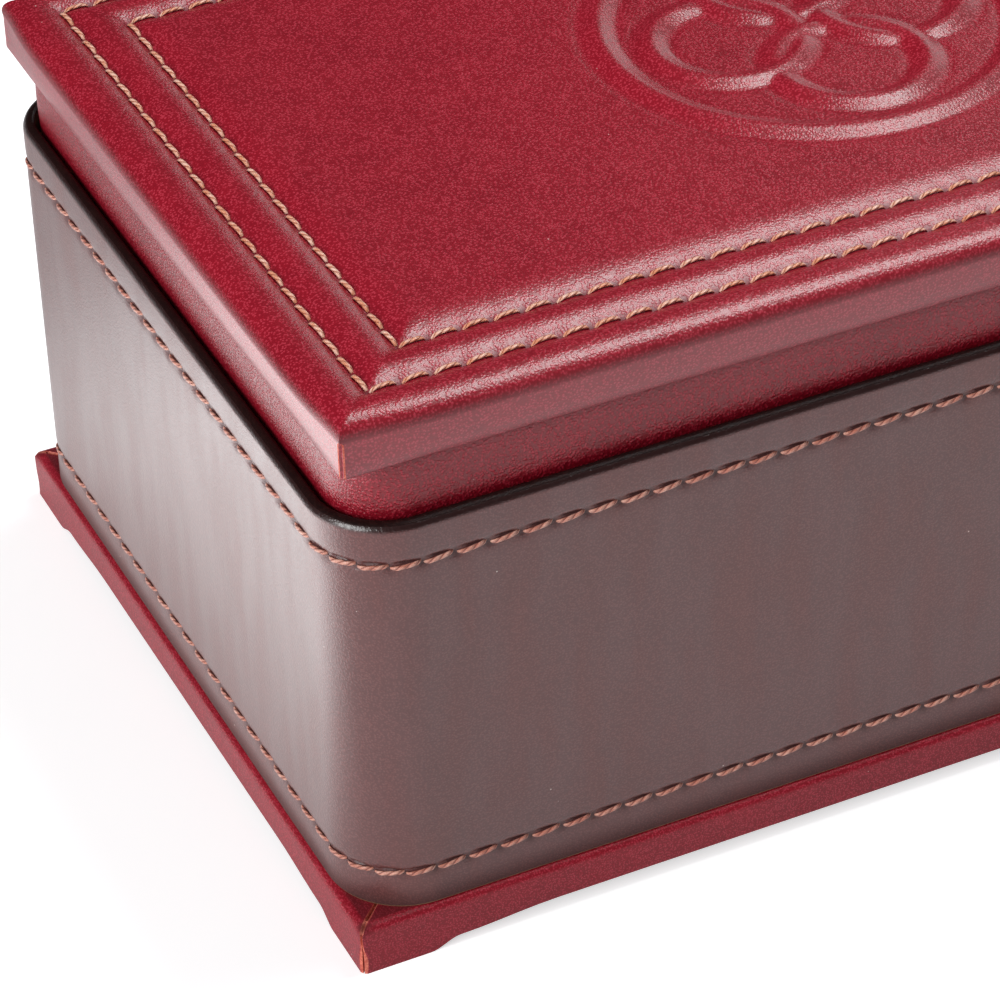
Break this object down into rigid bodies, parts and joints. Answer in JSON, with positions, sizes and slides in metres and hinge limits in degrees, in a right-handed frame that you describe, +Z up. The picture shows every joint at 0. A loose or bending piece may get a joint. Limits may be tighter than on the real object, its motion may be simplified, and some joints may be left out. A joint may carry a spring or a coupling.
{
  "type": "leather trinket box",
  "caption": "Low rectangular leather-covered box with a stitched red lid plate, brown wall band, hinged lid and a red base on corner feet.",
  "frame": {"origin": "Centre of the rectangle the box stands on, on the surface under its feet", "axes": "+X along the long side to the right seen from the front, +Y towards the hinged back, +Z up"},
  "size_m": [0.1794, 0.1114, 0.0795],
  "materials": {
    "red_leather": "semi-gloss smooth leather",
    "brown_leather": "semi-gloss smooth leather, burnished rim",
    "thread": "waxed twisted thread",
    "board": "plain board",
    "suede": "matt suede",
    "felt": "felt",
    "foam": "thin padding sheet",
    "brass": "polished"
  },
  "bodies": {
    "box": {"foot_front_left": "red_leather", "foot_front_right": "red_leather", "foot_back_left": "red_leather", "foot_back_right": "red_leather", "base_board": "board", "base_felt": "felt", "base_strip_front": "red_leather", "base_strip_back": "red_leather", "base_strip_left": "red_leather", "base_strip_right": "red_leather", "wall_front": "board", "wall_back": "board", "wall_left": "board", "wall_right": "board", "band_leather": "brown_leather", "band_thread_upper": "thread", "band_thread_lower": "thread", "lining_front": "suede", "lining_back": "suede", "lining_left": "suede", "lining_right": "suede", "floor_board": "board", "floor_pad": "suede", "hinge_box_leaf_left": "brass", "hinge_box_leaf_right": "brass", "hinge_pin_left": "brass", "hinge_pin_right": "brass", "hinge_box_screws": "brass"},
    "lid": {"lid_board": "board", "lid_foam": "foam", "lid_leather": "red_leather", "lid_relief": "red_leather", "lid_thread_outer": "thread", "lid_thread_inner": "thread", "rail_front": "board", "rail_back": "board", "rail_left": "board", "rail_right": "board", "collar_leather": "red_leather", "collar_lining": "suede", "lid_lining_panel": "suede", "hinge_lid_leaf_left": "brass", "hinge_lid_leaf_right": "brass", "hinge_lid_screws": "brass"}
  },
  "joints": [
    {"name": "lid_hinge", "type": "hinge", "parent": "box", "child": "lid", "pos_m": [0, 0.0544, 0.0639], "axis": [-1, 0, 0], "range_deg": [0, 100]}
  ]
}
